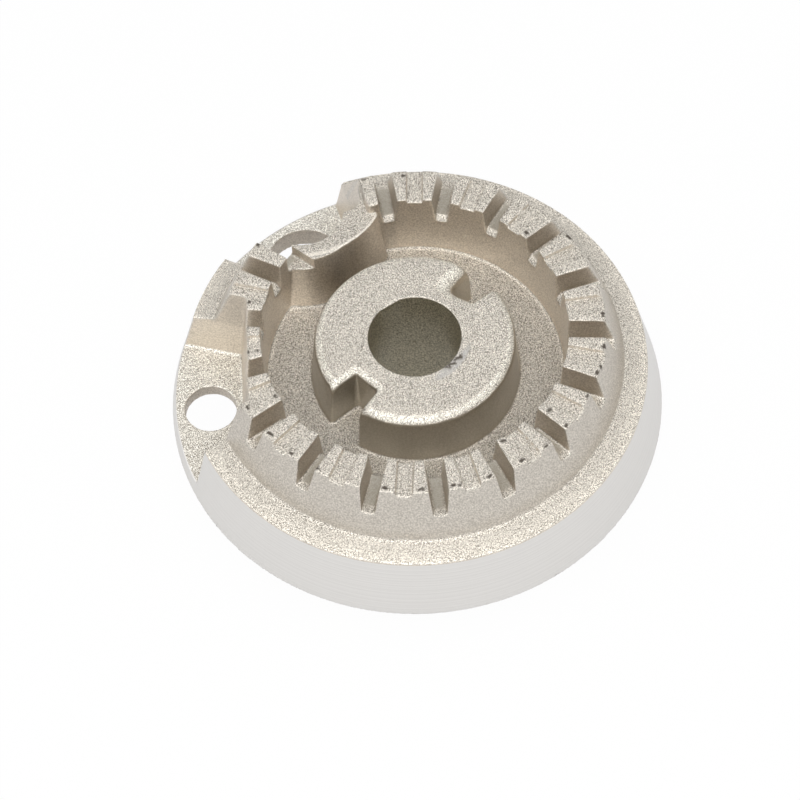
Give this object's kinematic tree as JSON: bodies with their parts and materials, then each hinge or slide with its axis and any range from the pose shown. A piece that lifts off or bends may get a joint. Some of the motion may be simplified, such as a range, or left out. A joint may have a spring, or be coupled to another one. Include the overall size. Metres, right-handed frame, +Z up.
{
  "type": "gas burner base",
  "caption": "Round cast aluminium base of a hob gas burner, with a slotted flame port crown, a gas channel, a throat bore and two rim passages.",
  "frame": {"origin": "on the throat axis, at the lower end of the throat tube", "axes": "+Z up along the throat axis, towards the port crown; +X through the middle of one hub notch"},
  "size_m": [0.075, 0.075, 0.026],
  "materials": {
    "cast_aluminium": "blasted die casting, turned on the skirt"
  },
  "bodies": {
    "root": {"burner_base": "cast_aluminium"}
  },
  "joints": []
}
